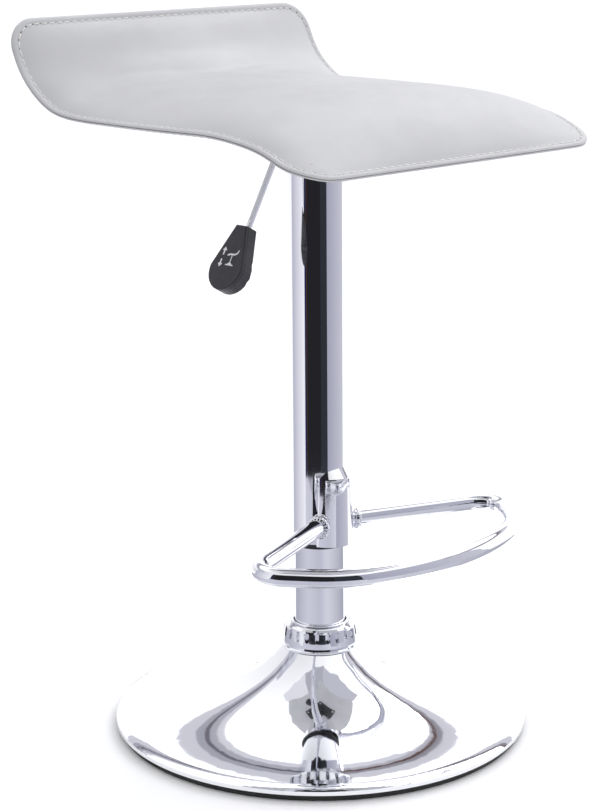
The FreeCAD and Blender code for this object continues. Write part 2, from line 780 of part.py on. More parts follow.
def handle_outline():
    """The handle's paddle outline, in the plane across the lever's hanging part."""
    wide = HANDLE_LEN - HANDLE_HALF_W - 2.0
    top_left, top_right = handle_point(-HANDLE_TOP_HALF_W, 0), handle_point(HANDLE_TOP_HALF_W, 0)
    left, right = handle_point(-HANDLE_HALF_W, wide), handle_point(HANDLE_HALF_W, wide)
    tip = handle_point(0, HANDLE_LEN)
    return Part.Wire([
        Part.makeLine(top_right, right), Part.Arc(right, tip, left).toShape(),
        Part.makeLine(left, top_left), Part.makeLine(top_left, top_right),
    ])


def handle_slab(low, high):
    """The paddle between two distances along its face normal."""
    out = lever_outward()
    face = Part.Face(handle_outline())
    face.translate(out * low)
    return face.extrude(out * (high - low))


def face_edges(level):
    """A test for the edges that lie at one distance along the handle's face normal."""
    origin = V(LEVER_BEND_X, 0, PIVOT[1])
    out = lever_outward()
    return lambda edge: all(abs((v.Point - origin).dot(out) - level) < 0.05 for v in edge.Vertexes)


def handle_face():
    """Front half of the handle."""
    top = HANDLE_BACK_T / 2 + HANDLE_SPLIT + HANDLE_FACE_T
    slab = handle_slab(HANDLE_BACK_T / 2 + HANDLE_SPLIT, top)
    return filleted(slab, 1.4, face_edges(top))


def handle_back():
    """Back half of the handle, with finger grips, bored for the rod."""
    low = -HANDLE_BACK_T / 2
    slab = handle_slab(low, HANDLE_BACK_T / 2)
    slab = filleted(slab, 2.2, face_edges(low))
    out, down = lever_outward(), lever_down()
    origin = V(LEVER_BEND_X, 0, PIVOT[1]) + down * HANDLE_TOP
    for i in range(3):
        centre = origin + down * (33 + 8.5 * i) + out * (low - 3.2)
        slab = slab.cut(rod_between(centre - V(0, 30, 0), centre + V(0, 30, 0), 5.2))
    return slab.cut(rod_between(origin - down * 5, origin + down * ROD_IN_HANDLE, LEVER_R))


def handle_screws():
    """Two small screws that hold the handle's halves together."""
    out, down = lever_outward(), lever_down()
    origin = V(LEVER_BEND_X, 0, PIVOT[1]) + down * HANDLE_TOP
    screws = []
    for side in (-1, 1):
        foot = origin + down * 45 + V(0, side * 11, 0) + out * (-HANDLE_BACK_T / 2 + 2)
        screws.append(rod_between(foot, foot + out * 7, 1.4))
    return Part.makeCompound(screws)


def handle_back_drilled():
    """The back half with its screw holes."""
    back = handle_back()
    out = lever_outward()
    for screw in handle_screws().Solids:
        centre = screw.CenterOfMass
        back = back.cut(rod_between(centre - out * 3.5, centre + out * 3.5, 1.4))
    return back


# ---- Output -------------------------------------------------------------------------------
NODES = {
    "base_dish": base_dish, "base_rubber_ring": base_rubber_ring, "base_hub_plate": base_hub_plate,
    "base_bolts": base_bolts, "base_washers": base_washers, "trim_ring": trim_ring, "trim_lip": trim_lip,
    "lower_tube": lower_tube, "tube_foot": tube_foot, "guide_sleeve": guide_sleeve,
    "lower_race": lower_race, "bearing_balls": bearing_balls, "ball_cage": ball_cage,
    "upper_race": upper_race, "piston_rod": piston_rod, "rod_clip": rod_clip, "rod_washer": rod_washer,
    "piston": piston, "bumper": bumper, "gas_cylinder": gas_cylinder, "cylinder_seal": cylinder_seal,
    "valve_pin": valve_pin, "cover_tube": cover_tube, "cover_bush": cover_bush, "cover_cap": cover_cap,
    "footrest_bracket": footrest_bracket, "footrest_loop": footrest_loop, "footrest_welds": footrest_welds,
    "seat_bottom_cover": seat_bottom_cover, "seat_shell": seat_shell, "seat_foam": seat_foam,
    "seat_top_cover": seat_top_cover, "tee_nuts": tee_nuts, "seat_bolts": seat_bolts,
    "seat_washers": seat_washers, "mechanism_plate": mechanism_plate,
    "mechanism_channel": mechanism_channel, "taper_socket": taper_socket, "pivot_pin": pivot_pin, "lever_yoke": lever_yoke, "lever_rod": lever_rod,
    "handle_face": handle_face, "handle_back": handle_back_drilled, "handle_screws": handle_screws,
}

os.makedirs("parts", exist_ok=True)
for name, make in NODES.items():
    shape = make()
    print(name, len(shape.Solids), round(shape.Volume / 1000, 2), shape.isValid())
    shape.exportStep("parts/" + name + ".step")
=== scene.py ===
import json
import math

import bpy
import numpy as np
from mathutils import Matrix, Vector, noise
from mathutils.bvhtree import BVHTree


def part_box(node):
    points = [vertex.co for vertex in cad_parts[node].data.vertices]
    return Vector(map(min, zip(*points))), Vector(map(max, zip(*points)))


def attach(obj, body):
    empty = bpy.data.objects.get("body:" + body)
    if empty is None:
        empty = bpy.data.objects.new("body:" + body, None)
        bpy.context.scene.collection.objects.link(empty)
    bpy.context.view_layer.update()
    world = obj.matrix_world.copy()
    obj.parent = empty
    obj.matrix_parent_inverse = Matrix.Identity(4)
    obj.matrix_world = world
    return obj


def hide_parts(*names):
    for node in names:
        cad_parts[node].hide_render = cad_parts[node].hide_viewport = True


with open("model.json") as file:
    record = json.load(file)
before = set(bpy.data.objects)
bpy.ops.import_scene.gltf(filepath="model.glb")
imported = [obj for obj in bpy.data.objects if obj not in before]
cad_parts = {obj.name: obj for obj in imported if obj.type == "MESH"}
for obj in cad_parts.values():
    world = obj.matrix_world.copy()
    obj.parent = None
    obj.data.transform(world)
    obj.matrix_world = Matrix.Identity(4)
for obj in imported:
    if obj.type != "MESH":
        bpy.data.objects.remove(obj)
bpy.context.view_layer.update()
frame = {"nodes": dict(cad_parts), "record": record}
NODES = frame["nodes"]

# ---- Camera and studio ---------------------------------------------------------------------
VIEW_TURN = 44.3          # degrees the camera stands round from the stool's front, towards the lever
VIEW_AIM = -0.53          # the camera's own small turn, away from the column
VIEW_PITCH = 14.06
VIEW_ROLL = -0.43
VIEW_DISTANCE = 1.9946
VIEW_HEIGHT = 0.8257
LENS = 93.22
FLOOR_SIZE = 40.0
NEAR_R = 0.24                      # where the studio floor's rings of cards start
MIDDLE_R = 0.60
OUTER_R = 0.93
WALL_R = 2.9
WALL_H = 2.6
CARD_Z = 0.002
CEILING_R = 1.5
CEILING_Z = 2.5
LAMP_AIM_Z = 0.45
SENSOR_W = 36.0
WORLD_LEVELS = (0.12, 1.50)        # how bright the surroundings are, darkest and brightest
BACKDROP_LEVEL = 1.05              # the same surroundings as the camera sees them, plain white
BANDS = [                          # stripes round the far wall: angles, then heights and colours
    ("right_band", (85, 180), [
        (1.62, 1.82, (0.66, 0.66, 0.72)), (1.82, 1.92, (0.30, 0.29, 0.33)),
        (1.92, 1.99, (0.11, 0.06, 0.05)), (1.99, 2.10, (0.48, 0.47, 0.53)),
        (2.10, 2.30, (0.72, 0.72, 0.78)),
    ]),
    ("left_band", (180, 275), [
        (1.55, 1.78, (0.66, 0.66, 0.72)), (1.78, 1.92, (0.40, 0.40, 0.46)),
        (1.92, 2.00, (0.16, 0.15, 0.18)), (2.00, 2.16, (0.44, 0.44, 0.50)),
        (2.16, 2.34, (0.70, 0.70, 0.76)),
    ]),
]

# ---- Seat ----------------------------------------------------------------------------------
CORNER_R = (0.030, 0.042)          # back, front
EDGE_H = 0.005                     # thickness of the sewn edge
SEAM_H = 0.0043
SHELL_TOP_H = 0.0077
SHELL_EDGE = 0.0236
UNDER_EDGE = 0.010
UNDER_T = 0.0014
STITCH_INSET = 0.0065
PAD_RISE = 0.0277
GRID = (72, 88)
STITCH_PITCH = 0.0092
STITCH_LEN = 0.0066
THREAD_R = 0.00078
STITCH_SLANT = 0.00018
STITCH_SAG = 0.0009
HOLE_RADIUS = 0.0012
HOLE_LIFT = 0.00012
HOLE_DOME = 0.00004
SWELL_CAP = 0.006
SWELL_STEPS = 20
RAY_MARGIN = 0.0008                # rays read the CAD seat's underside along its middle
RAY_COUNT = 260
RAY_X = 0.0002
FIT_DEGREE = 17
SURFACE_STEPS = 1600
CORNER_STEPS = 24                  # points on half a corner
SIDE_STEPS = 60
PAD_PROFILE = [                    # the pad's edge as (inset, height), from the seam round and under
    (0.0058, 0.0046), (0.0048, EDGE_H), (0.0034, 0.0051), (0.0019, 0.0048), (0.0009, 0.0042),
    (0.0002, 0.0034), (0.0002, 0.0029), (0.0007, 0.0025), (0.0016, 0.0023), (0.0022, 0.0018),
    (0.0060, 0.0016), (0.0205, 0.0016), (0.0222, SHELL_TOP_H), (0.0230, SHELL_TOP_H),
]
UNDER_PROFILE = [                  # the bottom leather's edge, from below round and up
    (0.0075, 0.0), (STITCH_INSET, 0.0004), (0.0056, 0.0), (0.0030, 0.0), (0.0014, 0.0002),
    (0.0006, 0.0006), (0.0003, 0.0011), (0.0004, 0.0017), (0.0009, 0.0021), (0.0016, 0.0021),
    (0.0018, 0.0014),
]

# ---- Footrest and handle -------------------------------------------------------------------
TUBE_R = 0.0087
WELD_R = 0.0024
WELD_BACK = 0.0082
WELD_GAP = 0.0004
STUB_TURN = 158.7
LEVER_TILT = 29.3
PRINT_T = 0.00008
MARK_PLACE = 0.44                  # how far down the handle, as a share of its length
MARK_LIFT = 0.00002


# ---- Mesh helpers --------------------------------------------------------------------------
def mesh_piece(name, points, faces, look, smooth=True):
    """A new mesh object from points and faces."""
    mesh = bpy.data.meshes.new(name)
    mesh.from_pydata([tuple(p) for p in points], [], faces)
    mesh.update()
    mesh.polygons.foreach_set("use_smooth", [smooth] * len(mesh.polygons))
    mesh.materials.append(look)
    piece = bpy.data.objects.new(name, mesh)
    bpy.context.scene.collection.objects.link(piece)
    return piece


def strip_faces(rows, closed):
    """Quads between rows of vertex numbers; closed joins each row's end to its start."""
    faces = []
    for low, high in zip(rows, rows[1:]):
        count = len(low)
        for i in range(count if closed else count - 1):
            j = (i + 1) % count
            faces.append((low[i], low[j], high[j], high[i]))
    return faces


def subdivide(piece, levels):
    """Add a subdivision surface at the given level."""
    modifier = piece.modifiers.new("smooth", "SUBSURF")
    modifier.levels = levels
    modifier.render_levels = levels


# ---- Material helpers ----------------------------------------------------------------------
def material(name):
    """A new node material and its shader."""
    made = bpy.data.materials.new(name)
    made.use_nodes = True
    return made, made.node_tree, made.node_tree.nodes["Principled BSDF"]


def link(tree, source, target):
    """Join two sockets."""
    tree.links.new(source, target)


def grain(tree, scale, detail=3.0, stretch=(1.0, 1.0, 1.0), kind="ShaderNodeTexNoise"):
    """A noise pattern in the piece's own metres; gives its value socket."""
    coords = tree.nodes.new("ShaderNodeTexCoord")
    mapping = tree.nodes.new("ShaderNodeMapping")
    mapping.inputs["Scale"].default_value = stretch
    pattern = tree.nodes.new(kind)
    pattern.inputs["Scale"].default_value = scale
    if "Detail" in pattern.inputs:
        pattern.inputs["Detail"].default_value = detail
    link(tree, coords.outputs["Object"], mapping.inputs["Vector"])
    link(tree, mapping.outputs["Vector"], pattern.inputs["Vector"])
    return pattern.outputs["Distance" if kind == "ShaderNodeTexVoronoi" else "Fac"]


def spread(tree, value, low, high, span=(0.3, 0.7)):
    """Map a pattern's usual span to the wanted range."""
    scaled = tree.nodes.new("ShaderNodeMapRange")
    scaled.inputs["From Min"].default_value = span[0]
    scaled.inputs["From Max"].default_value = span[1]
    scaled.inputs["To Min"].default_value = low
    scaled.inputs["To Max"].default_value = high
    link(tree, value, scaled.inputs["Value"])
    return scaled.outputs["Result"]


def tinted(tree, value, first, second, target):
    """Blend two colours by a pattern into a colour socket."""
    mix = tree.nodes.new("ShaderNodeMix")
    mix.data_type = "RGBA"
    mix.inputs["A"].default_value = (*first, 1)
    mix.inputs["B"].default_value = (*second, 1)
    link(tree, spread(tree, value, 0.0, 1.0), mix.inputs["Factor"])
    link(tree, mix.outputs["Result"], target)


def bumped(tree, shader, layers):
    """Chain bump layers, each a (pattern, strength, distance in metres)."""
    previous = None
    for pattern, strength, distance in layers:
        bump = tree.nodes.new("ShaderNodeBump")
        bump.inputs["Strength"].default_value = strength
        bump.inputs["Distance"].default_value = distance
        link(tree, pattern, bump.inputs["Height"])
        if previous is not None:
            link(tree, previous, bump.inputs["Normal"])
        previous = bump.outputs["Normal"]
    link(tree, previous, shader.inputs["Normal"])


def metal(name, first, second, roughness, scale, bump):
    """Metal with uneven polish."""
    made, tree, shader = material(name)
    shader.inputs["Metallic"].default_value = 1.0
    tinted(tree, grain(tree, scale), first, second, shader.inputs["Base Color"])
    polish = spread(tree, grain(tree, scale * 2.3, 4.0), *roughness)
    link(tree, polish, shader.inputs["Roughness"])
    bumped(tree, shader, [(grain(tree, scale * 1.6, 2.0), *bump)])
    return made


def plastic(name, first, second, roughness, scale, depth, speckle=0.3):
    """Moulded or rubbery surface with a fine spark-eroded texture."""
    made, tree, shader = material(name)
    tinted(tree, grain(tree, scale * 0.05), first, second, shader.inputs["Base Color"])
    link(tree, spread(tree, grain(tree, scale * 0.3), *roughness), shader.inputs["Roughness"])
    shader.inputs["Specular IOR Level"].default_value = 0.5
    bumped(tree, shader, [
        (grain(tree, scale, 2.0), speckle, depth),
        (grain(tree, scale * 0.04, 2.0), 0.15, depth * 4),
    ])
    return made


def leather(name, first, second, roughness=(0.44, 0.54)):
    """Coated leather: pebbled grain, faint pores and slow colour drift."""
    made, tree, shader = material(name)
    tinted(tree, grain(tree, 14.0, 4.0), first, second, shader.inputs["Base Color"])
    link(tree, spread(tree, grain(tree, 90.0, 3.0), *roughness), shader.inputs["Roughness"])
    shader.inputs["Specular IOR Level"].default_value = 0.32
    pebble = grain(tree, 950.0, kind="ShaderNodeTexVoronoi")
    bumped(tree, shader, [
        (grain(tree, 28.0, 3.0), 0.10, 0.0008),
        (pebble, 0.22, 0.00022),
        (grain(tree, 2600.0, 2.0), 0.12, 0.0001),
    ])
    return made


def wood(name):
    """Beech plywood, with its plies as stripes along the height."""
    made, tree, shader = material(name)
    plies = grain(tree, 60.0, 3.0, stretch=(0.2, 0.2, 9.0))
    tinted(tree, plies, (0.42, 0.27, 0.15), (0.62, 0.45, 0.28), shader.inputs["Base Color"])
    link(tree, spread(tree, grain(tree, 200.0), 0.5, 0.7), shader.inputs["Roughness"])
    bumped(tree, shader, [(plies, 0.3, 0.0003)])
    return made


CHROME = metal("chrome", (0.86, 0.87, 0.90), (0.90, 0.90, 0.93), (0.025, 0.055), 9.0, (0.02, 0.0004))
STEEL = metal("steel", (0.44, 0.45, 0.46), (0.56, 0.56, 0.57), (0.22, 0.38), 60.0, (0.10, 0.0002))
BLACK_STEEL = plastic(
    "black_paint", (0.012, 0.012, 0.013), (0.022, 0.022, 0.024), (0.38, 0.52), 700.0, 0.0002)
BRASS = metal("brass", (0.72, 0.52, 0.24), (0.80, 0.61, 0.32), (0.18, 0.30), 80.0, (0.10, 0.0001))
RUBBER = plastic("rubber", (0.012, 0.012, 0.012), (0.022, 0.021, 0.021), (0.55, 0.72), 900.0, 0.0002)
BLACK_PLASTIC = plastic(
    "black_plastic", (0.010, 0.010, 0.012), (0.018, 0.018, 0.021), (0.28, 0.40), 1200.0, 0.0001)
HANDLE_PLASTIC = plastic(
    "handle_plastic", (0.020, 0.020, 0.024), (0.034, 0.034, 0.040), (0.34, 0.48), 1100.0, 0.0002)
NYLON = plastic("white_nylon", (0.72, 0.72, 0.70), (0.80, 0.80, 0.78), (0.40, 0.52), 600.0, 0.0001)
PRINT = plastic("print", (0.70, 0.70, 0.70), (0.80, 0.80, 0.80), (0.50, 0.62), 1500.0, 0.00005)
LEATHER = leather("leather", (0.475, 0.475, 0.492), (0.520, 0.520, 0.536))
# the underside's leather: a darker copy of the seat leather, painted shade on the side that faces down
LEATHER_UNDER_SHADED = leather("leather_under_shaded", (0.440, 0.440, 0.458), (0.490, 0.490, 0.506), (0.46, 0.56))
THREAD = plastic("thread", (0.66, 0.66, 0.63), (0.80, 0.80, 0.77), (0.60, 0.80), 2500.0, 0.0002, 0.8)
# dark discs over the needle holes: painted shade standing in for the shade inside each hole
HOLE_SHADE = plastic("needle_hole_shade", (0.10, 0.095, 0.085), (0.17, 0.16, 0.14), (0.7, 0.9), 1500.0, 0.0001)
FOAM = plastic("foam", (0.70, 0.62, 0.38), (0.80, 0.72, 0.48), (0.85, 0.95), 900.0, 0.0004, 0.8)
PLYWOOD = wood("plywood")

SLOT_LOOK = {
    "chrome": CHROME, "steel": STEEL, "black_paint": BLACK_STEEL, "brass": BRASS, "rubber": RUBBER,
    "black_plastic": BLACK_PLASTIC, "handle_plastic": HANDLE_PLASTIC, "white_nylon": NYLON,
    "leather": LEATHER, "foam": FOAM, "plywood": PLYWOOD,
}


def dress_nodes():
    """Give every CAD node the finish of its material slot."""
    slot_of = {part["node"]: part["material_slot"] for part in frame["record"]["subparts"]}
    for name, node in NODES.items():
        look = SLOT_LOOK[slot_of[name]]
        if not node.data.materials:
            node.data.materials.append(look)
        for i in range(len(node.data.materials)):
            node.data.materials[i] = look


# ---- Seat surface --------------------------------------------------------------------------
class SeatSurface:
    """The wave under the seat as a smooth curve, read from the bottom leather's underside."""

    def __init__(self):
        node = NODES["seat_bottom_cover"].data
        points = np.array([v.co for v in node.vertices])
        tree = BVHTree.FromPolygons([v.co for v in node.vertices], [p.vertices for p in node.polygons])
        back = points[:, 1].max()
        front = points[points[:, 2].argmin(), 1]
        ys = np.linspace(back - RAY_MARGIN, front + RAY_MARGIN, RAY_COUNT)
        hits = [tree.ray_cast(Vector((RAY_X, y, 0.3)), Vector((0, 0, 1)))[0] for y in ys]
        ys, zs = np.array([(h.y, h.z) for h in hits if h is not None]).T
        curve = np.polynomial.Chebyshev.fit(ys, zs, FIT_DEGREE)
        self.y = np.linspace(back, front, SURFACE_STEPS)
        self.z = curve(self.y)
        slope = curve.deriv()(self.y)
        steps = np.hypot(np.diff(self.y), np.diff(self.z))
        self.s = np.concatenate([[0.0], np.cumsum(steps)])
        size = np.hypot(1.0, slope)
        self.ny = -slope / size
        self.nz = 1.0 / size
        self.length = self.s[-1]
        self.half = points[:, 0].max()

    def place(self, x, s, h):
        """Points of the seat from across, along and height above the underside."""
        y, z, ny, nz = [np.interp(s, self.s, values) for values in (self.y, self.z, self.ny, self.nz)]
        size = np.hypot(ny, nz)
        return np.stack([x + 0 * s, y + ny / size * h, z + nz / size * h], axis=-1)


SEAT = SeatSurface()


def seat_side(index):
    """One side of the seat's flat outline, from corner middle to corner middle, with normals."""
    back_r, front_r = CORNER_R
    centres = [
        (-(SEAT.half - back_r), back_r, back_r), (SEAT.half - back_r, back_r, back_r),
        (SEAT.half - front_r, SEAT.length - front_r, front_r),
        (-(SEAT.half - front_r), SEAT.length - front_r, front_r),
    ]
    square = math.radians(270 + 90 * index)
    eighth = math.radians(45)
    points, normals = [], []
    turns = ((index, square - eighth, square), ((index + 1) % 4, square, square + eighth))
    for corner, start, end in turns:
        cx, cs, radius = centres[corner]
        for angle in np.linspace(start, end, CORNER_STEPS):
            normals.append((math.cos(angle), math.sin(angle)))
            points.append((cx + radius * normals[-1][0], cs + radius * normals[-1][1]))
    middle = [(1 - t, t) for t in np.linspace(0, 1, SIDE_STEPS)[1:-1]]
    a, b = np.array(points[CORNER_STEPS - 1]), np.array(points[CORNER_STEPS])
    straight = [tuple(a * u + b * v) for u, v in middle]
    points = points[:CORNER_STEPS] + straight + points[CORNER_STEPS:]
    level = [normals[CORNER_STEPS - 1]] * len(straight)
    normals = normals[:CORNER_STEPS] + level + normals[CORNER_STEPS:]
    return np.array(points), np.array(normals)


def resampled(points, normals, count):
    """Even spacing along a side."""
    lengths = np.concatenate([[0.0], np.cumsum(np.hypot(*np.diff(points, axis=0).T))])
    wanted = np.linspace(0.0, lengths[-1], count + 1)
    outline = np.stack([np.interp(wanted, lengths, points[:, k]) for k in (0, 1)], axis=1)
    facing = np.stack([np.interp(wanted, lengths, normals[:, k]) for k in (0, 1)], axis=1)
    return outline, facing / np.hypot(*facing.T)[:, None]


SIDES = [resampled(*seat_side(i), GRID[i % 2]) for i in range(4)]
RING = np.concatenate([points[:-1] for points, normals in SIDES])
RING_NORMAL = np.concatenate([normals[:-1] for points, normals in SIDES])


def ring_row(inset, height):
    """A closed row of seat points at one inset from the outline and one height."""
    flat = RING - RING_NORMAL * inset
    return SEAT.place(flat[:, 0], flat[:, 1], height)


def patch(inset):
    """Flat grid that fills the outline at one inset, its border lying on the ring's points."""
    back, right, front, left = [points - normals * inset for points, normals in SIDES]
    front, left = front[::-1], left[::-1]
    p = np.linspace(0, 1, GRID[0] + 1)[None, :, None]
    q = np.linspace(0, 1, GRID[1] + 1)[:, None, None]
    ends = (1 - q) * back[None] + q * front[None] + (1 - p) * left[:, None] + p * right[:, None]
    corners = (1 - p) * (1 - q) * back[0] + p * (1 - q) * back[-1]
    corners = corners + (1 - p) * q * front[0] + p * q * front[-1]
    return ends - corners


def patch_border(offset):
    """Vertex numbers round a patch's border, in the ring's order."""
    wide, long = GRID

    def at(i, j):
        return offset + j * (wide + 1) + i

    back = [at(i, 0) for i in range(wide)]
    right = [at(wide, j) for j in range(long)]
    front = [at(i, long) for i in range(wide, 0, -1)]
    left = [at(0, j) for j in range(long, 0, -1)]
    return back + right + front + left


def patch_faces(offset, up):
    """Quads of a patch, facing up or down."""
    wide, long = GRID
    rows = [[offset + j * (wide + 1) + i for i in range(wide + 1)] for j in range(long + 1)]
    faces = strip_faces(rows, False)
    return faces if not up else [face[::-1] for face in faces]


def pad_heights(fullness):
    """Height of the padding over the patch: nothing at the seam and full in the middle."""
    p = np.abs(np.linspace(-1, 1, GRID[0] + 1))[None, :]
    q = np.abs(np.linspace(-1, 1, GRID[1] + 1))[:, None]
    across = 0.75 * (1 - p ** 2) + 0.25 * (1 - p ** 10)
    return fullness * across * (1 - q ** 5)


def layered(name, first, profile, last, up, look):
    """A closed piece: one patch, edge rows down or up round the side, and a second patch."""
    rows = [ring_row(inset, height) for inset, height in profile]
    count, offset = len(RING), len(first)
    points = np.concatenate([first, *rows, last])
    numbers = [patch_border(0)]
    numbers += [list(range(offset + k * count, offset + (k + 1) * count)) for k in range(len(rows))]
    numbers.append(patch_border(offset + len(rows) * count))
    side = strip_faces(numbers, True)
    faces = patch_faces(0, up) + (side if up else [face[::-1] for face in side])
    faces += patch_faces(offset + len(rows) * count, not up)
    return mesh_piece(name, points, faces, look)


def level_patch(inset, height):
    """Seat points over the outline at one inset, all at one height or at a grid of heights."""
    flat = patch(inset)
    return SEAT.place(flat[..., 0], flat[..., 1], height).reshape(-1, 3)


def seat_pad():
    """The padded top: leather crown, seam and sewn edge, hollow underneath for the shell."""
    crown = level_patch(STITCH_INSET, SEAM_H + pad_heights(PAD_RISE - SWELL_CAP * 0.4))
    floor = level_patch(SHELL_EDGE, SHELL_TOP_H)
    piece = layered("seat_pad", crown, PAD_PROFILE, floor, True, LEATHER)
    swell(piece, len(crown))
    settle_leather(piece, len(crown))
    subdivide(piece, 1)
    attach(piece, "seat_assembly")
    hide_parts("seat_top_cover", "seat_foam")


def swell(piece, free_count):
    """Blow the crown up as cloth held at its seam, and keep the movement under the cap."""
    start = np.array([v.co for v in piece.data.vertices])
    wide = GRID[0] + 1
    inner = [
        i for i in range(free_count)
        if 0 < i % wide < wide - 1 and 0 < i // wide < GRID[1]
    ]
    held = piece.vertex_groups.new(name="held")
    held.add(sorted(set(range(len(start))) - set(inner)), 1.0, "REPLACE")
    cloth = piece.modifiers.new("swell", "CLOTH")
    settings = cloth.settings
    settings.quality = 6
    settings.mass = 0.4
    settings.tension_stiffness = 40
    settings.compression_stiffness = 40
    settings.shear_stiffness = 12
    settings.bending_stiffness = 4
    settings.air_damping = 2
    settings.vertex_group_mass = "held"
    settings.use_pressure = True
    settings.uniform_pressure_force = 4.0
    settings.effector_weights.gravity = 0
    scene = bpy.context.scene
    for step in range(1, SWELL_STEPS + 1):
        scene.frame_set(step)
    shown = piece.evaluated_get(bpy.context.evaluated_depsgraph_get())
    moved = np.array([v.co for v in shown.data.vertices])
    piece.modifiers.remove(cloth)
    piece.vertex_groups.clear()
    scene.frame_set(1)
    shift = moved - start
    size = np.linalg.norm(shift, axis=1)
    shift *= np.minimum(1.0, SWELL_CAP / np.maximum(size, 1e-9))[:, None]
    print("swell: most", round(float(size.max()) * 1000, 2), "mm")
    piece.data.vertices.foreach_set("co", (start + shift).ravel())
    piece.data.update()


def settle_leather(piece, free_count):
    """Small slow unevenness of hand-pulled leather, fading out at the seam."""
    strength = pad_heights(1.0).ravel() ** 0.7
    for i in range(free_count):
        vertex = piece.data.vertices[i]
        place = Vector(vertex.co)
        wave = noise.noise(place * 16.0) * 0.0007 + noise.noise(place * 45.0) * 0.00022
        vertex.co.z += wave * strength[i]
    piece.data.update()


def seat_underside():
    """The bottom leather: flat under the shell, rolled up at the edge to meet the top leather."""
    under, upper = level_patch(UNDER_EDGE, 0.0), level_patch(UNDER_EDGE, UNDER_T)
    # the bottom leather's darker colour is painted shade
    piece = layered("seat_underside", under, UNDER_PROFILE, upper, False, LEATHER_UNDER_SHADED)
    subdivide(piece, 1)
    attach(piece, "seat_assembly")
    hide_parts("seat_bottom_cover")


# ---- Stitching -----------------------------------------------------------------------------
def capsule(start, end, up, radius, sag):
    """One stitch: a short round thread whose ends dive into the leather."""
    points, faces = [], []
    along = (end - start).normalized()
    across = along.cross(up).normalized()
    stations = (0.0, 0.08, 0.25, 0.5, 0.75, 0.92, 1.0)
    sides = 8
    for t in stations:
        dip = (2 * t - 1) ** 4
        centre = start.lerp(end, t) + up * (radius * 0.55 - sag * dip)
        fat = radius * (1.0 - 0.35 * dip)
        for k in range(sides):
            turn = 2 * math.pi * k / sides
            points.append(centre + across * (fat * math.cos(turn)) + up * (fat * math.sin(turn)))
    for a in range(len(stations) - 1):
        for k in range(sides):
            n = (k + 1) % sides
            faces.append((a * sides + k, a * sides + n, (a + 1) * sides + n, (a + 1) * sides + k))
    faces.append(tuple(range(sides))[::-1])
    faces.append(tuple(range((len(stations) - 1) * sides, len(stations) * sides)))
    return points, faces


def stitch_line(height):
    """Even points along the seam, each with its upward direction."""
    loops = [seat_side(i) for i in range(4)]
    flat = np.concatenate([points - normals * STITCH_INSET for points, normals in loops])
    keep = np.concatenate([[True], np.hypot(*np.diff(flat, axis=0).T) > 1e-7])
    flat = flat[keep]
    lengths = np.concatenate([[0.0], np.cumsum(np.hypot(*np.diff(flat, axis=0).T))])
    count = round(lengths[-1] / STITCH_PITCH)
    wanted = np.linspace(0.0, lengths[-1], count + 1)
    x, s = [np.interp(wanted, lengths, flat[:, k]) for k in (0, 1)]
    low, high = SEAT.place(x, s, height), SEAT.place(x, s, height + 0.001)
    return [Vector(p) for p in low], [Vector(b - a).normalized() for a, b in zip(low, high)]


def disc(centre, up, along, radius):
    """A small flat dark disc over a needle hole: painted shade in the hole."""
    across = along.cross(up).normalized()
    points = [centre + up * HOLE_DOME]
    sides = 8
    for k in range(sides):
        turn = 2 * math.pi * k / sides
        points.append(centre + along * (radius * math.cos(turn)) + across * (radius * math.sin(turn)))
    faces = [(0, 1 + k, 1 + (k + 1) % sides) for k in range(sides)]
    return points, faces


def gather(parts):
    """Join many small shapes into one list of points and faces."""
    points, faces = [], []
    for some_points, some_faces in parts:
        offset = len(points)
        points += some_points
        faces += [tuple(offset + i for i in face) for face in some_faces]
    return points, faces


def stitching(prefix, height, flip):
    """A row of stitches along the seam, and dark discs over its needle holes as painted shade."""
    places, ups = stitch_line(height)
    threads, holes = [], []
    for i in range(len(places) - 1):
        up = (ups[i] + ups[i + 1]).normalized() * flip
        a, b = places[i], places[i + 1]
        gap = (1 - STITCH_LEN / STITCH_PITCH) / 2
        slant = (b - a).normalized().cross(up) * STITCH_SLANT
        start, end = a.lerp(b, gap) + slant, a.lerp(b, 1 - gap) - slant
        threads.append(capsule(start, end, up, THREAD_R, STITCH_SAG))
        holes.append(disc(a + ups[i] * (flip * HOLE_LIFT), ups[i] * flip, (b - a).normalized(), HOLE_RADIUS))
    thread = mesh_piece(prefix + "_stitches", *gather(threads), THREAD)
    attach(thread, "seat_assembly")
    # the needle holes' dark discs are painted shade
    dark = mesh_piece(prefix + "_needle_holes", *gather(holes), HOLE_SHADE)
    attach(dark, "seat_assembly")


# ---- Welds ---------------------------------------------------------------------------------
def weld_beads():
    """Rippled beads where the footrest's tube meets its bracket."""
    turn = math.radians(STUB_TURN)
    low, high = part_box("footrest_welds")
    reach = (high.x - low.x) / 2
    parts = []
    for side in (-1, 1):
        along = Vector((-side * math.cos(turn), -math.sin(turn), 0))
        centre = Vector((side * (reach - WELD_BACK), (low.y + high.y) / 2, (low.z + high.z) / 2))
        parts.append(bead(centre, along))
    piece = mesh_piece("weld_beads", *gather(parts), CHROME)
    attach(piece, "seat_assembly")
    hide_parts("footrest_welds")


def bead(centre, along):
    """One lumpy ring round an axis."""
    up = Vector((0, 0, 1))
    across = along.cross(up).normalized()
    around, section = 72, 14
    points = []
    for i in range(around):
        a = 2 * math.pi * i / around
        spoke = across * math.cos(a) + up * math.sin(a)
        ripple = 1.0 + 0.10 * math.sin(a * 17) + 0.25 * noise.noise(spoke * 2.1 + centre * 40)
        fat = WELD_R * ripple
        for j in range(section):
            b = 2 * math.pi * j / section
            reach = TUBE_R + WELD_GAP + fat * math.cos(b)
            points.append(centre + spoke * reach + along * (fat * 1.25 * math.sin(b)))
    rows = [[i * section + j for j in range(section)] for i in range(around)]
    return points, strip_faces(rows + rows[:1], True)


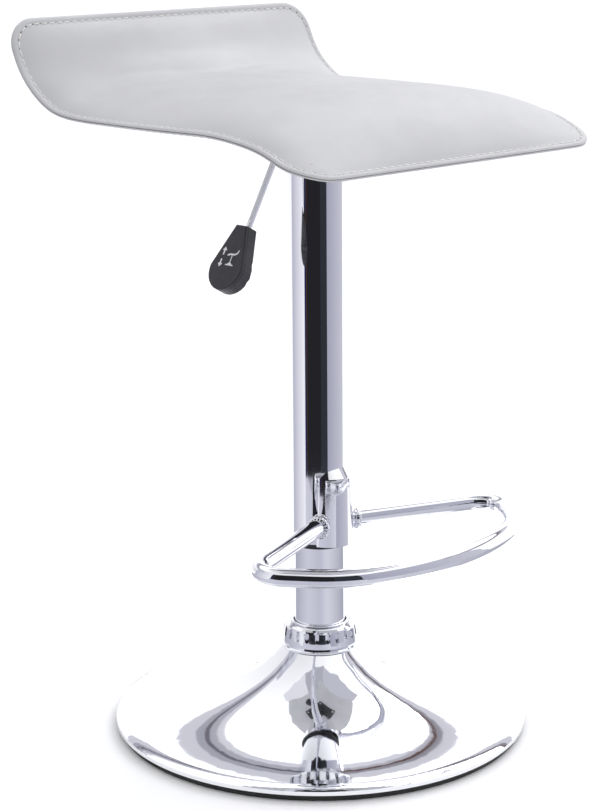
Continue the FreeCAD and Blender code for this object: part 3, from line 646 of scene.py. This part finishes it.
# ---- Handle mark ---------------------------------------------------------------------------
def handle_frame():
    """The handle's face: its centre line's top point, the way down and the way out."""
    tilt = math.radians(LEVER_TILT)
    down = Vector((-math.sin(tilt), 0, -math.cos(tilt)))
    out = Vector((-math.cos(tilt), 0, math.sin(tilt)))
    points = [v.co for v in NODES["handle_face"].data.vertices]
    level = max(p.dot(out) for p in points)
    first = min(p.dot(down) for p in points)
    last = max(p.dot(down) for p in points)
    return down * first + out * level, down, out, last - first


def flat_shape(outline, origin, across, down, out, thick):
    """A thin printed shape on the handle from its outline in millimetres."""
    base = [origin + across * (w / 1000) + down * (t / 1000) for w, t in outline]
    top = [p + out * thick for p in base]
    count = len(outline)
    faces = [tuple(range(count))[::-1], tuple(range(count, 2 * count))]
    faces += [(i, (i + 1) % count, count + (i + 1) % count, count + i) for i in range(count)]
    return base + top, faces


def handle_mark():
    """A plain height mark: a small stool beside an up arrow and a down arrow, in millimetres."""
    top, down, out, length = handle_frame()
    across = Vector((0, -1, 0))
    origin = top + down * (length * MARK_PLACE) + out * MARK_LIFT
    arrow = [(0, -8.0), (3.0, -4.4), (0.9, -4.4), (0.9, 0), (-0.9, 0), (-0.9, -4.4), (-3.0, -4.4)]
    turned = [(w, -t) for w, t in arrow]
    wave = [
        (-6.5, 1.6), (-3.0, 0.2), (3.0, 0.0), (5.2, -1.4), (6.4, -4.2), (7.4, -3.9), (6.4, -0.4),
        (3.6, 1.6), (-2.6, 1.8), (-6.2, 3.0),
    ]
    stem = [(-0.5, 1.9), (0.5, 1.9), (0.5, 9.0), (-0.5, 9.0)]
    foot = [
        (-0.6, 8.6), (0.6, 8.6), (3.0, 10.6), (5.2, 11.2), (5.2, 12.0), (-5.2, 12.0), (-5.2, 11.2),
        (-3.0, 10.6),
    ]
    shapes = [[(w - 9.0, t + 2.5) for w, t in arrow], [(w - 9.0, t + 6.5) for w, t in turned]]
    shapes += [[(w + 3.2, t) for w, t in shape] for shape in (wave, stem, foot)]
    parts = [flat_shape(shape, origin, across, down, out, PRINT_T) for shape in shapes]
    piece = mesh_piece("handle_mark", *gather(parts), PRINT, smooth=False)
    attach(piece, "lever")


# ---- Studio --------------------------------------------------------------------------------
def view_axes():
    """Level directions towards the camera and to the picture's right."""
    turn = math.radians(VIEW_TURN)
    return Vector((-math.sin(turn), -math.cos(turn), 0)), Vector((math.cos(turn), -math.sin(turn), 0))


def add_camera():
    """The camera at the photograph's viewing angle."""
    turn = math.radians(VIEW_TURN + VIEW_AIM)
    pitch, roll = math.radians(VIEW_PITCH), math.radians(VIEW_ROLL)
    level = math.cos(pitch)
    forward = Vector((math.sin(turn) * level, math.cos(turn) * level, -math.sin(pitch)))
    right = Vector((math.cos(turn), -math.sin(turn), 0))
    up = right.cross(forward)
    side = right * math.cos(roll) + up * math.sin(roll)
    top = up * math.cos(roll) - right * math.sin(roll)
    data = bpy.data.cameras.new("camera")
    data.lens = LENS
    data.sensor_width = SENSOR_W
    data.clip_end = 100.0
    camera = bpy.data.objects.new("camera", data)
    bpy.context.scene.collection.objects.link(camera)
    turned = Matrix((side, top, -forward)).transposed().to_4x4()
    stand = view_axes()[0] * VIEW_DISTANCE + Vector((0, 0, VIEW_HEIGHT))
    camera.matrix_world = Matrix.Translation(stand) @ turned
    bpy.context.scene.camera = camera


def add_floor():
    """A plain pale floor."""
    made, tree, shader = material("floor")
    pale, paler = (0.94, 0.94, 0.945), (0.96, 0.96, 0.965)
    tinted(tree, grain(tree, 0.8, 4.0), pale, paler, shader.inputs["Base Color"])
    link(tree, spread(tree, grain(tree, 30.0), 0.55, 0.7), shader.inputs["Roughness"])
    shader.inputs["Specular IOR Level"].default_value = 0.2
    bumped(tree, shader, [(grain(tree, 400.0), 0.02, 0.0002)])
    half = FLOOR_SIZE / 2
    corners = [(-half, -half, 0), (half, -half, 0), (half, half, 0), (-half, half, 0)]
    floor = mesh_piece("floor", corners, [(0, 1, 2, 3)], made, smooth=False)


def glow(name, colour):
    """A plain glowing surface for a studio card."""
    made = bpy.data.materials.new(name)
    made.use_nodes = True
    tree = made.node_tree
    tree.nodes.clear()
    light = tree.nodes.new("ShaderNodeEmission")
    light.inputs["Color"].default_value = (*colour, 1)
    light.inputs["Strength"].default_value = 1.0
    target = tree.nodes.new("ShaderNodeOutputMaterial")
    link(tree, light.outputs["Emission"], target.inputs["Surface"])
    return made


def card(name, corners, colour):
    """A flat studio card that only shows in reflections."""
    face = tuple(range(len(corners)))
    reflected_only(mesh_piece(name, corners, [face], glow(name, colour), smooth=False))


def reflected_only(piece):
    """Hide a piece from the camera, diffuse light, shadows and transmission, so it is seen in reflections
    alone.
    """
    piece.visible_camera = False
    piece.visible_diffuse = False
    piece.visible_shadow = False
    piece.visible_transmission = False


def polar(radius, degrees, z):
    """A point about the column: degrees are from the camera's direction to the picture's right."""
    toward, right = view_axes()
    a = math.radians(degrees)
    return toward * (radius * math.cos(a)) + right * (radius * math.sin(a)) + Vector((0, 0, z))


def strip(name, near, angles, colour, far=None):
    """A stretch of studio floor between two angles, and the wall behind it unless it ends before."""
    a, b = angles
    end = far or WALL_R
    floor = [polar(near, a, CARD_Z), polar(near, b, CARD_Z), polar(end, b, CARD_Z), polar(end, a, CARD_Z)]
    card(name + "_floor", floor, colour)
    if far:
        return
    wall = [polar(WALL_R, turn, z) for turn, z in ((a, 0.0), (b, 0.0), (b, WALL_H), (a, WALL_H))]
    card(name + "_wall", wall, colour)


def fade(name, near, angles, first, last, steps, far=None):
    """Neighbouring strips whose colour changes step by step."""
    edges = np.linspace(*angles, steps + 1)
    for i in range(steps):
        share = (i + 0.5) / steps
        colour = [a + (b - a) * share for a, b in zip(first, last)]
        strip(f"{name}_{i}", near, edges[i:i + 2], colour, far)


def ceiling(name, angles, colour):
    """A sector of ceiling that tones down the dish's neck."""
    a, b = angles
    rim = [polar(CEILING_R, turn, CEILING_Z) for turn in (a, (a + b) / 2, b)]
    card(name, [Vector((0, 0, CEILING_Z)), *rim], colour)


def band(name, angles, low, high, colour):
    """A level stripe on the studio's far wall."""
    count = 13
    turns = np.linspace(*angles, count)
    points = [polar(WALL_R, a, z) for z in (low, high) for a in turns]
    faces = strip_faces([list(range(count)), list(range(count, 2 * count))], False)
    reflected_only(mesh_piece(name, points, faces, glow(name, colour), smooth=False))


def add_world():
    """Soft surroundings, brightest overhead, behind the stool and to the picture's right.

    Light and reflections get that gradient. The camera sees plain white behind the stool.
    """
    world = bpy.data.worlds.new("studio")
    world.use_nodes = True
    tree = world.node_tree
    background = tree.nodes["Background"]
    background.inputs["Color"].default_value = (0.975, 0.98, 1.0, 1)
    toward, right = view_axes()
    bright = (right * 0.42 - toward * 0.52 + Vector((0, 0, 0.74))).normalized()
    coords = tree.nodes.new("ShaderNodeTexCoord")
    facing = tree.nodes.new("ShaderNodeVectorMath")
    facing.operation = "DOT_PRODUCT"
    facing.inputs[1].default_value = bright
    link(tree, coords.outputs["Generated"], facing.inputs[0])
    level = spread(tree, facing.outputs["Value"], WORLD_LEVELS[0], WORLD_LEVELS[1], (-1.0, 1.0))
    path = tree.nodes.new("ShaderNodeLightPath")
    plain = tree.nodes.new("ShaderNodeMix")
    plain.inputs["B"].default_value = BACKDROP_LEVEL
    link(tree, path.outputs["Is Camera Ray"], plain.inputs["Factor"])
    link(tree, level, plain.inputs["A"])
    link(tree, plain.outputs["Result"], background.inputs["Strength"])
    bpy.context.scene.world = world


def add_lights():
    """The studio: bright surroundings, one soft box, and the dark and grey cards."""
    add_world()
    soft_box("key", polar(2.3, 148, 2.6), 2.2, 30.0)
    strip("blue", OUTER_R, (-52, -46), (0.012, 0.022, 0.085))
    strip("brown", OUTER_R, (-46, -42), (0.060, 0.032, 0.020))
    strip("black", OUTER_R, (-42, 8), (0.018, 0.018, 0.022))
    strip("slate", OUTER_R, (8, 32), (0.030, 0.034, 0.042))
    fade("right", MIDDLE_R, (32, 100), (0.40, 0.40, 0.50), (0.62, 0.62, 0.70), 10)
    fade("left", MIDDLE_R, (-52, -112), (0.95, 0.95, 1.0), (0.50, 0.50, 0.60), 8)
    fade("near_left", NEAR_R, (-52, 0), (0.66, 0.66, 0.75), (0.56, 0.56, 0.66), 5, OUTER_R)
    fade("near_right", NEAR_R, (0, 32), (0.56, 0.56, 0.66), (0.72, 0.72, 0.80), 5, OUTER_R)
    fade("side_left", NEAR_R, (-135, -52), (0.42, 0.42, 0.50), (0.66, 0.66, 0.75), 6, MIDDLE_R)
    fade("side_right", NEAR_R, (32, 130), (0.72, 0.72, 0.80), (0.40, 0.40, 0.48), 6, MIDDLE_R)
    ceiling("ceiling_left", (-105, -50), (0.80, 0.80, 0.86))
    ceiling("ceiling_middle", (-50, 10), (0.46, 0.46, 0.52))
    ceiling("ceiling_right", (10, 105), (0.56, 0.56, 0.63))
    for name, angles, levels in BANDS:
        for i, (low, high, colour) in enumerate(levels):
            band(f"{name}_{i}", angles, low, high, colour)


def soft_box(name, place, size, power):
    """A square area light aimed at the stool's middle."""
    data = bpy.data.lights.new(name, "AREA")
    data.shape = "SQUARE"
    data.size = size
    data.energy = power
    lamp = bpy.data.objects.new(name, data)
    bpy.context.scene.collection.objects.link(lamp)
    lamp.location = place
    aim = Vector((0, 0, LAMP_AIM_Z)) - place
    lamp.rotation_euler = aim.to_track_quat("-Z", "Y").to_euler()


dress_nodes()
add_camera()
add_floor()
add_lights()
seat_pad()
seat_underside()
stitching("seat", SEAM_H + 0.0001, 1)
stitching("under", 0.0002, -1)
weld_beads()
handle_mark()
bpy.context.scene.view_settings.view_transform = "Standard"
